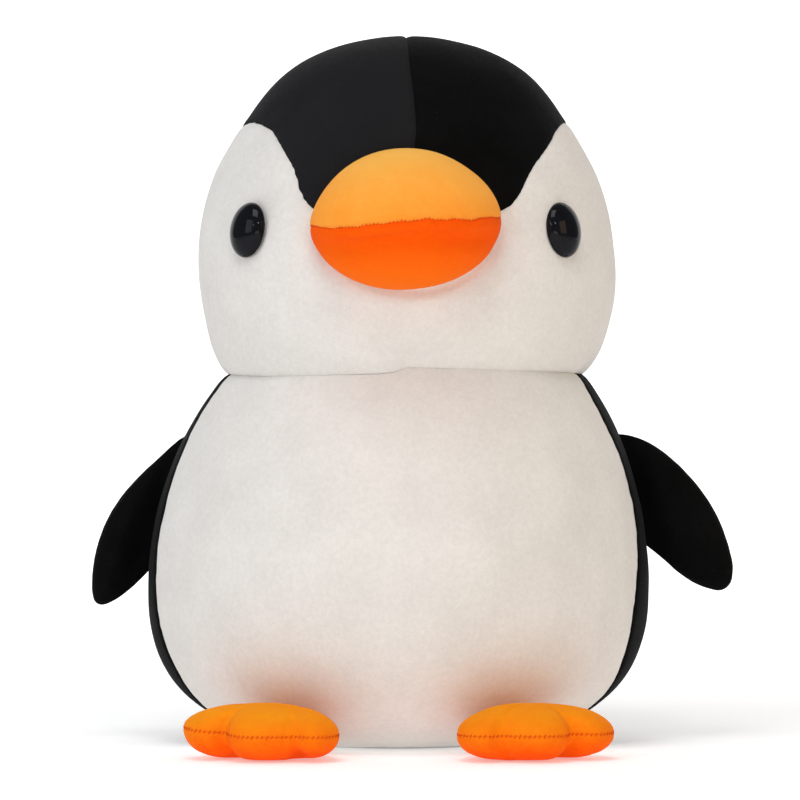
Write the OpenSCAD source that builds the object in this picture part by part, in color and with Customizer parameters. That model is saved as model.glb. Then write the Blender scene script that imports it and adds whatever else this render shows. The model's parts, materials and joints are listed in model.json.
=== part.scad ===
// Plush penguin that sits upright, 350 mm tall.
// +X is the toy's own left, -Y is its front and +Z is up.
// The origin is the middle of the flat base that it rests on.
// Every skin is a sewn fabric panel, and each stuffed space holds a filling of its own.
// The wings swing fore and aft about their root seams, and the feet flex about their heels.

/* [Head] */
// Half of the head's width
head_w = 103.6; // [98:0.2:108]
// Half of the head's depth, front to back
head_d = 93; // [89:1:97]
// Height of the head's widest level
head_z = 234; // [230:1:238]
// Height of the crown above the widest level
head_up = 116; // [110:1:120]
// Drop of the head's lower half below the widest level
head_down = 103; // [99:1:107]
// Height of the neck seam
neck_z = 182.5; // [180:0.5:186]
// How far the head sits to the toy's left of the body
head_lean = 3.4; // [0:0.1:4]

/* [Body] */
// Half of the body's width
body_w = 124.2; // [120:0.2:124.6]
// Half of the body's depth, front to back
body_d = 112; // [106:1:112]
// Height of the body's widest level
body_z = 78; // [76:1:80]
// Height of the upper half, if it were not cut off at the neck
body_up = 150; // [146:1:154]
// Drop of the lower half, if it were not cut off at the base
body_down = 81; // [80:0.5:83]
// Fullness of the lower half: 2 is an ellipse, and more is squarer
body_fullness = 2.6; // [2.4:0.1:2.7]

/* [Fabric] */
// Thickness of a panel, backing and pile together
cloth = 1.5; // [1.2:0.1:1.8]
// Gap between two panels along a seam
seam_gap = 0.5; // [0.3:0.1:0.8]
// Gap between a panel and the filling behind it
fill_gap = 0.3; // [0.2:0.1:0.5]

/* [Beak] */
// Half of the beak's width
beak_w = 45.6; // [42:0.2:48]
// Half of the beak's height
beak_h = 33.7; // [31:0.1:36]
// Length of the beak in front of its widest section
beak_len = 39; // [34:1:44]
// Distance of the beak's widest section in front of the toy's middle
beak_y = 93; // [92:0.5:95]
// Height of the beak's middle
beak_z = 255.8; // [254:0.2:258]
// Height of the mouth seam
mouth_z = 254.5; // [253:0.5:256]
// Slimness of the beak's shoulders: 1 is an ellipse, and more is closer to a lemon
beak_slim = 1.2; // [1:0.05:1.4]
// Roll of the beak, its left end up, in degrees
beak_roll = 3; // [0:0.5:5]

/* [Eyes] */
// Width of an eye
eye_w = 22; // [18:0.5:26]
// Height of an eye
eye_h = 27; // [22:0.5:30]
// How far the dome stands proud
eye_dome = 7; // [5:0.5:9]
// Distance of an eye from the middle plane
eye_x = 75.5; // [72:0.5:78]
// Height of an eye's middle
eye_z = 251.6; // [248:0.2:256]
// Lean of an eye's top towards the beak, in degrees
eye_lean = 5; // [0:1:12]
// Diameter of the stem that goes through the face
stem_d = 5; // [4:0.2:6]
// Length of the stem
stem_len = 14; // [12:1:16]
// Diameter of the lock washer
washer_d = 20; // [16:1:22]
// Thickness of the lock washer
washer_t = 2; // [1.5:0.1:2.5]

/* [Wings] */
// Distance of the root seam's middle from the toy's middle plane
wing_x = 120.5; // [120.5:0.1:122]
// Distance of the root seam's middle behind the toy's middle
wing_y = 12; // [8:1:14]
// Height of the root seam's middle
wing_z = 132.5; // [130:0.5:135]
// Slant of the root seam from upright, in degrees
wing_slant = 17.5; // [16:0.5:19]
// Turn of the wing towards the front, in degrees
wing_turn = 15; // [5:1:20]
// Thickness of a stuffed wing
wing_thick = 18; // [14:0.5:20]

/* [Feet] */
// Distance of a heel's hinge line from the middle plane
foot_x = 48.5; // [48:0.5:51]
// Distance of a heel's hinge line in front of the toy's middle
foot_y = 67.5; // [67.5:0.5:70]
// Height of a heel's hinge line
foot_z = 5; // [5:0.1:5.5]
// Outward splay of a foot, in degrees
foot_splay = 20; // [15:1:24]
// Thickness of a stuffed foot
foot_thick = 26.5; // [24:0.5:27]
// Height of the seam round a foot
foot_rim_z = 13.5; // [12:0.5:15]

/* [Hidden] */

black = [0.09, 0.09, 0.1];
white = [0.93, 0.91, 0.88];
amber = [1, 0.65, 0.2];
orange = [1, 0.45, 0.05];
fibre = [0.86, 0.86, 0.84];
gloss = [0.02, 0.02, 0.02];

// Depth of the filling's surface behind a panel's outer face
fill_depth = cloth + fill_gap;
// The head's lower edge and the body's upper edge, half a seam from the neck seam
head_low = neck_z + seam_gap / 2;
body_high = neck_z - seam_gap / 2;

// The seam between cap and face, seen from the side as (y, z).
// It rises from the peak that the beak hides, turns over above the eye and falls to the neck.
peak_z = 256;
seam_rise = [[-90, peak_z], [-79.6, 262], [-65.6, 283], [-44.8, 299.4], [-20, 306.8]];
seam_fall = [[-13, 306.7], [8, 302], [17, 285], [20, 255], [18, 218], [5, head_low]];
// Rows along the rising seam, along the falling seam, and below the peak
rise_rows = 8;
fall_rows = 12;
chin_rows = 6;
// The crown's angle, from straight back, where the seam turns over
turn_angle = 100;

// Outlines of the wings as (distance down the root line, distance out from it)
wing_outline_left = [
    [-21.5, -3.8], [-19.5, 2], [-14.9, 8.2], [-5.8, 15.9], [5.7, 22.9], [17.5, 27.6], [31, 31.2],
    [45, 32.4], [56, 31.2], [64.5, 28], [67, 22], [62, 12.3], [53.5, 4.3], [45, -0.6], [36, -4.6],
    [20, -4.6], [0, -4.2], [-14, -4.4]
];
wing_outline_right = [
    [-19, -4.2], [-13.6, -1], [-9, 1.5], [-2.9, 4.9], [6, 9.5], [18, 15], [30, 17.8], [42, 18.3],
    [53, 17], [63, 14.6], [69.5, 11.8], [71, 8], [67, 2.4], [58.4, -4.1], [52, -8], [46, -10],
    [37, -7.8], [24, -5.2], [6, -4.2], [-9, -4.3]
];
wing_middle_left = [26, 11];
wing_middle_right = [28, 6];
// Share of the full thickness at the root seam, and the width over which it grows
wing_root_share = 0.42;
wing_root_width = 15;

// A foot's outline as (distance ahead of the hinge line, distance to the outer side)
foot_outline = [
    [-4.2, 0], [-2.5, -8.5], [13, -17.5], [30, -31], [46, -39], [57, -37], [62, -30.5],
    [62, -23.5], [68, -17], [71.5, -8], [72, 0], [69.5, 7], [63.5, 12], [66.5, 20], [65, 28.5],
    [57, 36], [45, 36.3], [30, 28.5], [13, 16.5], [-2.5, 8.5]
];
foot_middle = [40, 0];
// Radius of the heel's rounded root, and the length over which the foot thickens ahead of it
heel_r = 4.4;
heel_len = 44;

// Rings of a stuffed pad, as shares of the way out to its outline
pad_rings = [0.34, 0.6, 0.8, 0.93, 1];
// How much smaller a pad's inner surface and its filling are than its outline
pad_inside = 0.93;
pad_filling = 0.915;

// ---------- points and curves ----------

function lerp(a, b, t) = a + (b - a) * t;

function smooth(t) = let (s = min(max(t, 0), 1)) s * s * (3 - 2 * s);

// One stretch of a smooth curve from b to c, with a and d as its neighbours
function stretch(a, b, c, d, t) =
    b + (c - a) * t / 2 + (2 * a - 5 * b + 4 * c - d) * t * t / 2
    + (3 * b - a - 3 * c + d) * t * t * t / 2;

// Point at share u of the way along an open curve through the points p
function along(p, u) =
    let (n = len(p) - 1, s = u * n, i = min(floor(s), n - 1))
    stretch(p[max(i - 1, 0)], p[i], p[i + 1], p[min(i + 2, n)], s - i);

// A closed curve through the points p, with k points to each stretch
function round_outline(p, k) =
    let (n = len(p))
    [for (i = [0:n - 1], j = [0:k - 1])
        stretch(p[(i + n - 1) % n], p[i], p[(i + 1) % n], p[(i + 2) % n], j / k)];

// ---------- closed solids from rows of points ----------

function joined(rows) = [for (row = rows) each row];

function quad(a, b, c, d) = [[a, b, c], [a, c, d]];

// Point numbers round the edge of a grid of n rows and m columns
function grid_edge(n, m) = concat(
    [for (j = [0:m - 2]) j],
    [for (i = [0:n - 2]) i * m + m - 1],
    [for (j = [m - 1:-1:1]) (n - 1) * m + j],
    [for (i = [n - 1:-1:1]) i * m]
);

// A sewn panel between an outer and an inner grid of points, with a wall round its edge
module sheet(outer, inner) {
    n = len(outer);
    m = len(outer[0]);
    k = n * m;
    edge = grid_edge(n, m);
    outside = [for (i = [0:n - 2], j = [0:m - 2])
        each quad(i * m + j, (i + 1) * m + j, (i + 1) * m + j + 1, i * m + j + 1)];
    inside = [for (f = outside) [f[2] + k, f[1] + k, f[0] + k]];
    wall = [for (e = [0:len(edge) - 1])
        let (p = edge[e], q = edge[(e + 1) % len(edge)])
        each quad(p, q, q + k, p + k)];
    polyhedron(points = concat(joined(outer), joined(inner)), faces = concat(outside, inside, wall));
}

// A domed solid between two stacks of rings, each spread out from its own tip
module dome(top_tip, top, bottom_tip, bottom) {
    n = len(top);
    m = len(top[0]);
    k = n * m + 1;
    upper = concat(
        [for (j = [0:m - 1]) [0, 1 + (j + 1) % m, 1 + j]],
        [for (r = [0:n - 2], j = [0:m - 1])
            let (a = 1 + r * m + j, d = 1 + r * m + (j + 1) % m)
            each quad(a, d, d + m, a + m)]
    );
    lower = [for (f = upper) [f[2] + k, f[1] + k, f[0] + k]];
    rim = [for (j = [0:m - 1])
        let (p = 1 + (n - 1) * m + j, q = 1 + (n - 1) * m + (j + 1) % m)
        each quad(p, q, q + k, p + k)];
    polyhedron(
        points = concat([top_tip], joined(top), [bottom_tip], joined(bottom)),
        faces = concat(upper, lower, rim)
    );
}

// A solid through level rings, from the lowest up, with flat ends
module stack(rings) {
    n = len(rings);
    m = len(rings[0]);
    sides = [for (i = [0:n - 2], j = [0:m - 1])
        let (a = i * m + j, b = i * m + (j + 1) % m)
        each quad(a, a + m, b + m, b)];
    bottom = [for (j = [0:m - 1]) j];
    top = [for (j = [m - 1:-1:0]) (n - 1) * m + j];
    polyhedron(points = joined(rings), faces = concat(sides, [bottom], [top]));
}

// The children on the toy's left, or mirrored to its right
module on_side(side) {
    if (side == "left") children();
    else mirror([1, 0, 0]) children();
}

// ---------- head ----------

function head_c(z) = z > head_z ? head_up : head_down;

// Half width of the head at the side-view place p = (y, z), kept clear of the middle plane
function head_x(p) =
    head_w * sqrt(max(0, 1 - pow(p.x / head_d, 2) - pow((p.y - head_z) / head_c(p.y), 2)));

// The head's surface at the side-view place p
function head_point(p) = [max(head_x(p), seam_gap / 2), p.x, p.y];

// The same place on the head, t deeper inside
function head_inset(q, t) = [
    q.x * (head_w - t) / head_w,
    q.y * (head_d - t) / head_d,
    head_z + (q.z - head_z) * (head_c(q.z) - t) / head_c(q.z)
];

// The head's outline from the side, by angle from straight back over the crown to the front
function head_profile(angle) =
    [head_d * cos(angle), head_z + (sin(angle) > 0 ? head_up : head_down) * sin(angle)];

peak_angle = 180 - asin((peak_z - head_z) / head_up);
neck_angle = asin((head_low - head_z) / head_down);

rise = [for (i = [0:rise_rows]) along(seam_rise, i / rise_rows)];
fall = [for (i = [0:fall_rows]) along(seam_fall, i / fall_rows)];

// Share of a row's length that half a seam takes
function seam_share(a, b) = min(0.3, seam_gap / 2 / norm(a - b));

// Rows of the cap run along the seam, from the middle line out to the seam
cap_columns = 10;
cap_seam = concat(rise, fall);
cap_middle = concat(
    [for (i = [0:rise_rows]) head_profile(lerp(peak_angle, turn_angle, i / rise_rows))],
    [for (i = [0:fall_rows]) head_profile(lerp(turn_angle - 4, neck_angle, i / fall_rows))]
);
cap_grid = [for (i = [0:len(cap_seam) - 1])
    let (s = cap_seam[i], p = cap_middle[i], e = seam_share(s, p))
    [for (j = [0:cap_columns])
        head_point(lerp(s, p, e + (1 - e) * sin(90 * (1 - j / cap_columns))))]];

// Rows of the face run from the middle line or the rising seam back to the falling seam
face_columns = 10;
chin_top = peak_z - 0.5;
chin = [for (i = [0:chin_rows])
    let (z = lerp(head_low, chin_top, i / chin_rows))
    [-head_d * sqrt(1 - pow((z - head_z) / head_c(z), 2)), z]];
face_front = concat(chin, rise);
face_back = [for (i = [0:len(face_front) - 1]) along(seam_fall, 1 - i / (len(face_front) - 1))];
face_grid = [for (i = [0:len(face_front) - 1])
    let (
        f = face_front[i],
        b = face_back[i],
        e = seam_share(f, b),
        e_front = i <= chin_rows ? 0 : e
    )
    [for (j = [0:face_columns])
        head_point(lerp(b, f, e + (1 - e - e_front) * sin(90 * (1 - j / face_columns))))]];

function inset_grid(grid, t) = [for (row = grid) [for (q = row) head_inset(q, t)]];

// The children on the left or the right of the head, which leans
module on_head(side) {
    translate([head_lean, 0, 0]) on_side(side) children();
}

module cap(side) {
    color(black) on_head(side) sheet(cap_grid, inset_grid(cap_grid, cloth));
}

module face(side) {
    color(white) on_head(side) difference() {
        sheet(face_grid, inset_grid(face_grid, cloth));
        at_eye() cylinder(h = 12, r = stem_d / 2 + fill_gap, center = true, $fn = 48);
    }
}

// ---------- body ----------

function body_power(z) = z > body_z ? 2 : body_fullness;

// Size of the body's level section at height z, as a share of its widest
function body_share(z) =
    pow(1 - pow(abs(z - body_z) / (z > body_z ? body_up : body_down), body_power(z)), 1 / body_power(z));

// The body's surface at height z and angle a from the front towards +X, t deep
function body_point(z, a, t) = [
    (body_w * body_share(z) - t) * sin(a),
    -(body_d * body_share(z) - t) * cos(a),
    z
];

// Angle of the side seam from the front, by height: furthest forward low on the body
function side_seam(z) =
    lookup(z, [[0, 76], [22, 72.3], [40, 70], [62, 70.4], [92, 73.5], [135, 75], [183, 76.6]]);

half_gap_angle = atan(seam_gap / 2 / body_w);
body_rows = 14;
body_levels = [for (i = [0:body_rows]) lerp(0, body_high, pow(i / body_rows, 1.2))];
belly_columns = 14;
back_columns = 10;

function belly_grid(t) = [for (z = body_levels)
    let (a = side_seam(z) - half_gap_angle)
    [for (j = [0:belly_columns]) body_point(z, lerp(-a, a, j / belly_columns), t)]];

function back_grid(t) = [for (z = body_levels)
    let (a = side_seam(z) + half_gap_angle)
    [for (j = [0:back_columns]) body_point(z, lerp(a, 180 - half_gap_angle, j / back_columns), t)]];

module belly_panel() {
    color(white) sheet(belly_grid(0), belly_grid(cloth));
}

module back(side) {
    color(black) on_side(side) sheet(back_grid(0), back_grid(cloth));
}

// The flat oval that the toy rests on, sewn inside the lower edges of the belly and back
module base_panel() {
    half_w = body_w * body_share(0) - fill_depth;
    half_d = body_d * body_share(0) - fill_depth;
    color(black) linear_extrude(cloth)
        polygon([for (a = [0:6:354]) [half_w * cos(a), half_d * sin(a)]]);
}

// ---------- fillings of head and body ----------

filling_columns = 24;
// How much deeper the fillings lie, because their facets differ from the panels'
filling_ease = 1.6;
filling_deep = fill_depth + filling_ease;
// How much further in the body filling's lowest ring is, where the panels turn under
bottom_ease = 5;
filling_rows = 10;
// The filling's top ring stops just short of the crown
crown_angle = 80;

module body_filling() {
    low = fill_depth;
    high = neck_z - fill_gap / 2;
    color(fibre) stack([for (i = [0:filling_rows])
        let (
            z = lerp(low, high, i / filling_rows),
            deep = filling_deep + (i == 0 ? bottom_ease : 0)
        )
        [for (j = [0:filling_columns - 1]) body_point(z, j * 360 / filling_columns, deep)]]);
}

module head_filling() {
    low = asin((neck_z + fill_gap - head_z) / (head_down - filling_deep));
    color(fibre) translate([head_lean, 0, 0]) difference() {
        stack([for (i = [0:filling_rows])
            let (
                a = lerp(low, crown_angle, i / filling_rows),
                z = head_z + ((a > 0 ? head_up : head_down) - filling_deep) * sin(a)
            )
            [for (j = [0:filling_columns - 1])
                let (turn = j * 360 / filling_columns)
                [
                    (head_w - filling_deep) * cos(a) * sin(turn),
                    -(head_d - filling_deep) * cos(a) * cos(turn),
                    z
                ]]]);
        for (side = ["left", "right"]) on_side(side) at_eye() {
            washer_pocket = washer_top + washer_t + fill_gap;
            translate([0, 0, -washer_pocket])
                cylinder(h = washer_pocket + 5, r = washer_d / 2 + fill_gap, $fn = 64);
            translate([0, 0, -stem_len - fill_gap])
                cylinder(h = stem_len, r = stem_d / 2 + fill_gap, $fn = 48);
        }
    }
}

// ---------- eyes ----------

eye_y = -head_d * sqrt(1 - pow(eye_x / head_w, 2) - pow((eye_z - head_z) / head_up, 2));
eye_normal = [eye_x / pow(head_w, 2), eye_y / pow(head_d, 2), (eye_z - head_z) / pow(head_up, 2)];
eye_azimuth = atan2(eye_normal.x, -eye_normal.y);
eye_rise = asin(eye_normal.z / norm(eye_normal));
// Gap between the dome's flat back and the face
eye_stand = 0.3;
// Depth of the washer's outer face, clear of the curved panel
washer_top = cloth + 1.3;

// Local +Z points straight out of the face at the left eye
module at_eye() {
    translate([eye_x, eye_y, eye_z]) rotate([90 - eye_rise, 0, eye_azimuth]) children();
}

// A level ring of the eye's dome, at share t of the way from its tip to its rim
function eye_ring(t, z) = [for (a = [0:15:345]) [eye_w / 2 * t * cos(a), eye_h / 2 * t * sin(a), z]];

module eye(side) {
    shares = [for (a = [18:18:90]) sin(a)];
    color(gloss) on_head(side) at_eye() {
        rotate([0, 0, eye_lean]) dome(
            [0, 0, eye_stand + eye_dome],
            [for (t = shares) eye_ring(t, eye_stand + 0.8 + (eye_dome - 0.8) * sqrt(1 - t * t))],
            [0, 0, eye_stand],
            [for (t = shares) eye_ring(t, eye_stand)]
        );
        translate([0, 0, -stem_len]) cylinder(h = stem_len + eye_stand + 1, r = stem_d / 2, $fn = 48);
    }
}

module eye_washer(side) {
    color("white") on_head(side) at_eye() translate([0, 0, -washer_top - washer_t]) difference() {
        cylinder(h = washer_t, r = washer_d / 2, $fn = 64);
        translate([0, 0, -1]) cylinder(h = washer_t + 2, r = stem_d / 2 + 0.1, $fn = 48);
    }
}

// ---------- beak ----------

beak_rows = 10;
beak_columns = 14;
// The beak's panels stop this many degrees short of the corners of the mouth
corner_angle = 8;
// Share of the widest section at which the beak meets the face
beak_foot = 0.97;
// How much deeper the beak's filling lies, because its facets differ from the panels'
beak_ease = 1;

// A front-view place at x across and z above the beak's middle, rolled with the beak
function rolled(x, z) =
    [x * cos(beak_roll) - z * sin(beak_roll), beak_z + x * sin(beak_roll) + z * cos(beak_roll)];

// The face's surface behind the front-view place p, with a small gap
function behind_beak(p) =
    -head_d * sqrt(1 - pow(p.x / head_w, 2) - pow((p.y - head_z) / head_c(p.y), 2)) - fill_gap;

// The beak's surface, t deep: a runs from corner to corner, b from the mouth seam to the face.
// The last row, where b is past 90, is carried back to the face. up is 1 above the mouth, or -1.
function beak_point(a, b, t, up) =
    let (
        reach = beak_h + up * (beak_z - mouth_z) - t - seam_gap / 2,
        size = b > 90 ? beak_foot : 1,
        rise = up * (seam_gap / 2 + size * reach * pow(sin(a), beak_slim) * sin(min(b, 90))),
        p = rolled(size * (beak_w - t) * cos(a), mouth_z - beak_z + rise),
        y = b > 90 ? behind_beak(p) : -beak_y - (beak_len - t) * sin(a) * cos(b)
    )
    [p.x, y, p.y];

function beak_grid(t, up) =
    let (turns = [for (i = [0:beak_rows]) 90 * i / beak_rows, 91])
    [for (b = up > 0 ? turns : [for (i = [len(turns) - 1:-1:0]) turns[i]])
        [for (j = [0:beak_columns])
            beak_point(lerp(180 - corner_angle, corner_angle, j / beak_columns), b, t, up)]];

module beak_upper() {
    color(amber) translate([head_lean, 0, 0]) sheet(beak_grid(0, 1), beak_grid(cloth, 1));
}

module beak_lower() {
    color(orange) translate([head_lean, 0, 0]) sheet(beak_grid(0, -1), beak_grid(cloth, -1));
}

// The filling's front follows the beak, and its back follows the face
module beak_filling() {
    shares = [for (a = [18:18:90]) sin(a)];
    deep = fill_depth + beak_ease;
    middle = rolled(0, 0);
    function place(t, a) = rolled(
        (beak_w - deep) * t * cos(a),
        (beak_h - deep) * t * sign(sin(a)) * pow(abs(sin(a)), beak_slim)
    );
    function ring(t) = [for (a = [0:15:345])
        let (p = place(t, a)) [p.x, -beak_y - (beak_len - deep) * sqrt(1 - t * t), p.y]];
    function back_ring(t) = [for (a = [0:15:345])
        let (p = place(beak_foot * t, a)) [p.x, behind_beak(p), p.y]];
    color(fibre) translate([head_lean, 0, 0]) dome(
        [middle.x, -beak_y - beak_len + deep, middle.y], [for (t = shares) ring(t)],
        [middle.x, behind_beak(middle), middle.y], [for (t = shares) back_ring(t)]
    );
}

// ---------- wings ----------

wing_hinge = [wing_x, wing_y, wing_z];
wing_down = [sin(wing_slant), 0, -cos(wing_slant)];
wing_out = cos(wing_turn) * [cos(wing_slant), 0, sin(wing_slant)] + sin(wing_turn) * [0, -1, 0];
wing_front = cross(wing_down, wing_out);

function wing_middle(side) = side == "left" ? wing_middle_left : wing_middle_right;

function wing_edge(side) =
    round_outline(side == "left" ? wing_outline_left : wing_outline_right, 2);

// Half thickness of a wing, t deep, at share s of the way to its outline and v out from the hinge
function wing_half(s, v, t) =
    (wing_thick / 2 - t) * sqrt(1 - pow(s, 2.2))
    * lerp(wing_root_share, 1, smooth((v + 4.2) / wing_root_width));

// Rings of a wing's surface: size shrinks the outline, t deepens it, and front is 1 or -1
function wing_rings(side, size, t, front, least) =
    let (edge = wing_edge(side), middle = wing_middle(side))
    [for (s = pad_rings)
        [for (p = edge)
            let (q = lerp(middle, p, s * size), w = front * max(least, wing_half(s, q.y, t)))
            wing_hinge + q.x * wing_down + q.y * wing_out + w * wing_front]];

function wing_tip(side, t, front) =
    let (q = wing_middle(side))
    wing_hinge + q.x * wing_down + q.y * wing_out + front * wing_half(0, q.y, t) * wing_front;

module wing_panel(side, front) {
    least = seam_gap / 2;
    color(black) on_side(side) {
        if (front > 0) dome(
            wing_tip(side, 0, 1), wing_rings(side, 1, 0, 1, least),
            wing_tip(side, cloth, 1), wing_rings(side, pad_inside, cloth, 1, least)
        );
        else dome(
            wing_tip(side, cloth, -1), wing_rings(side, pad_inside, cloth, -1, least),
            wing_tip(side, 0, -1), wing_rings(side, 1, 0, -1, least)
        );
    }
}

module wing_filling(side) {
    color(fibre) on_side(side) dome(
        wing_tip(side, fill_depth, 1),
        wing_rings(side, pad_filling, fill_depth, 1, seam_gap),
        wing_tip(side, fill_depth, -1),
        wing_rings(side, pad_filling, fill_depth, -1, seam_gap)
    );
}

// ---------- feet ----------

foot_ahead = [sin(foot_splay), -cos(foot_splay), 0];
foot_across = [cos(foot_splay), sin(foot_splay), 0];
foot_edge = round_outline(foot_outline, 2);

// Height of a foot's rim seam at p ahead of the hinge
function foot_rim(p) = lerp(foot_z, foot_rim_z, smooth(p / heel_len));

// Rise above the rim, or drop below it, at share s of the way to the outline
function foot_rise(s, p, t) =
    (lerp(heel_r, foot_thick - foot_rim_z, smooth(p / heel_len)) - t) * sqrt(1 - pow(s, 2.4));
function foot_drop(s, p, t) =
    (lerp(heel_r, foot_rim_z, smooth(p / heel_len)) - t) * sqrt(1 - pow(s, 4));

// A point of the foot: p ahead of the hinge, q across, z above the floor
function foot_point(p, q, z) =
    [foot_x, -foot_y, 0] + p * foot_ahead + q * foot_across + [0, 0, z];

function foot_ring(s, size, t, up, least) = [for (o = foot_edge)
    let (
        q = lerp(foot_middle, o, s * size),
        h = up > 0 ? foot_rise(s, q.x, t) : foot_drop(s, q.x, t)
    )
    foot_point(q.x, q.y, foot_rim(q.x) + up * max(least, h))];

function foot_rings(size, t, up, least) = [for (s = pad_rings) foot_ring(s, size, t, up, least)];

function foot_crown(t, up) =
    let (p = foot_middle.x, h = up > 0 ? foot_rise(0, p, t) : foot_drop(0, p, t))
    foot_point(p, foot_middle.y, foot_rim(p) + up * h);

module foot_upper(side) {
    least = seam_gap / 2;
    color(amber) on_side(side) dome(
        foot_crown(0, 1), foot_rings(1, 0, 1, least),
        foot_crown(cloth, 1), foot_rings(pad_inside, cloth, 1, least)
    );
}

module foot_sole(side) {
    least = seam_gap / 2;
    color(orange) on_side(side) dome(
        foot_crown(cloth, -1), foot_rings(pad_inside, cloth, -1, least),
        foot_crown(0, -1), foot_rings(1, 0, -1, least)
    );
}

module foot_filling(side) {
    color(fibre) on_side(side) dome(
        foot_crown(fill_depth, 1), foot_rings(pad_filling, fill_depth, 1, seam_gap),
        foot_crown(fill_depth, -1), foot_rings(pad_filling, fill_depth, -1, seam_gap)
    );
}

// ---------- assembly ----------

cap("left");  // cap_left
cap("right");  // cap_right
face("left");  // face_left
face("right");  // face_right
belly_panel();
back("left");  // back_left
back("right");  // back_right
base_panel();
beak_upper();
beak_lower();
beak_filling();
eye("left");  // eye_left
eye("right");  // eye_right
eye_washer("left");  // eye_washer_left
eye_washer("right");  // eye_washer_right
wing_panel("left", 1);  // wing_left_front
wing_panel("left", -1);  // wing_left_back
wing_filling("left");  // wing_left_filling
wing_panel("right", 1);  // wing_right_front
wing_panel("right", -1);  // wing_right_back
wing_filling("right");  // wing_right_filling
foot_upper("left");  // foot_left_upper
foot_sole("left");  // foot_left_sole
foot_filling("left");  // foot_left_filling
foot_upper("right");  // foot_right_upper
foot_sole("right");  // foot_right_sole
foot_filling("right");  // foot_right_filling
head_filling();
body_filling();
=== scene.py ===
import json
import math

import bmesh
import bpy
import numpy as np
from mathutils import Matrix, Vector, kdtree, noise


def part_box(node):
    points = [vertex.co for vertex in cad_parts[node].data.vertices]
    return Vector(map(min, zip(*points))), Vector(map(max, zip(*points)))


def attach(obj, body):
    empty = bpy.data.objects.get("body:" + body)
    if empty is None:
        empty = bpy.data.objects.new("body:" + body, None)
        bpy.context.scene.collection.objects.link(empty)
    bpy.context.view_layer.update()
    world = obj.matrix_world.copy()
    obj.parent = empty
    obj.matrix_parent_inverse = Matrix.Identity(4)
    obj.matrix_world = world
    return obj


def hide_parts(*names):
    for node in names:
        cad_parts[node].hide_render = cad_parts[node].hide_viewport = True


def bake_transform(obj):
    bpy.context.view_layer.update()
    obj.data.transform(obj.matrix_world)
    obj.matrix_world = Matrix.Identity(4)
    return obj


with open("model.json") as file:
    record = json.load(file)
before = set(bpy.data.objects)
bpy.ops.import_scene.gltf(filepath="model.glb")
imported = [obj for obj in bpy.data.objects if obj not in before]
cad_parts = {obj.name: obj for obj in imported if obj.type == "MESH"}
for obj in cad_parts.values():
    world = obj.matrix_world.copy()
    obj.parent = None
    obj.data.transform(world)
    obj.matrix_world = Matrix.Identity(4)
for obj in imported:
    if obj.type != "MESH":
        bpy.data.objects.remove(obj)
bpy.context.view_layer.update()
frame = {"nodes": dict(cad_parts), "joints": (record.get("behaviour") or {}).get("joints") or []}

# Shapes are worked out in millimetres and made metres when a piece is finished.
MM = 0.001
SIDES = ("left", "right")


def node_box(node):
    """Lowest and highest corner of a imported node, in millimetres."""
    low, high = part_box(node)
    return np.array(low) / MM, np.array(high) / MM


def hinge_of(joint):
    """Where a joint's hinge is, in millimetres."""
    return np.array(next(j for j in frame["joints"] if j["name"] == joint)["pos_m"]) / MM


# ---------- sizes ----------

CLOTH = 1.4
FACE_LOW, FACE_HIGH = node_box("face_left")
FACE_FAR = node_box("face_right")[0]
CAP_HIGH = node_box("cap_left")[1]
BELLY_HIGH = node_box("belly_panel")[1]
BACK_HIGH = node_box("back_left")[1]

# The head leans this far to the toy's left, from a level upwards over a height
HEAD_LEAN = (FACE_HIGH[0] + FACE_FAR[0]) / 2
LEAN_FROM, LEAN_OVER = 60, 165
CHEEK_SHIFT, CHEEK_Z = 1.4, 212

# Half widths and depths, the level of the widest part, and the reach above and below it
HEAD_W = (FACE_HIGH[0] - FACE_FAR[0]) / 2 + 0.1
HEAD_D = 93.0
HEAD_Z = 234.0
HEAD_UP = CAP_HIGH[2] - HEAD_Z + 0.4
HEAD_DOWN = 103.0
CROWN_BLUNT, TEMPLE_SLIM = 2.8, 0.9
NECK_Z = (FACE_LOW[2] + BELLY_HIGH[2]) / 2
BODY_W = BACK_HIGH[0] + 0.2
BODY_D = BACK_HIGH[1]
BODY_Z = 78.0
BODY_UP = 150.0
BODY_DOWN = 81.0
BODY_FULLNESS = 2.6

# The neck seam's depth and width, its share eased at the front, and how far from it the cloth
# lies level and without lumps
NECK_DEPTH, NECK_WIDTH, NECK_EASE = 1.8, 7.0, 0.68
NECK_LEVEL, NECK_CALM = 14, 12
# Its rise at the front, as (x, rise)
NECK_WAVE = ((-87, -1.5), (-45, -1.2), (-10, -0.6), (-3, 0.2), (3, 2.4), (17, 2.5), (55, 1.3),
             (94, 0.6))

# The cap's edge seen from the side, as (y, z): up from the beak, then down behind the cheek
SEAM_RISE = [(-90, 256), (-79.6, 262), (-65.6, 283), (-44.8, 299.4), (-32, 304.6), (-20, 306.8)]
SEAM_FALL = [(-13, 306.7), (8, 302), (17, 285), (20, 255), (18, 218), (5, 182.75)]
# How far the cap drifts to the toy's left at the front, as (height, shift)
CAP_DRIFT = ((246, 0), (266, 2.2), (282, 3.6), (300, 5.2), (315, 4.2), (334, 1.9), (350, 0.6))

# Each side seam's angle from the front in degrees, as (height, angle)
SIDE_SEAM = {
    "left": ((-5, 76), (22, 73), (36, 69.5), (50, 67.8), (62, 67.8), (76, 69.4), (92, 71.5),
             (110, 73.6), (132, 74), (155, 72.4), (168, 71.4), (185, 73)),
    "right": ((-5, 76), (22, 71.5), (36, 70.3), (50, 71.4), (62, 73), (76, 74.6), (100, 75.9),
              (130, 75.8), (145, 76.5), (160, 78.4), (185, 79.8)),
}

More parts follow.
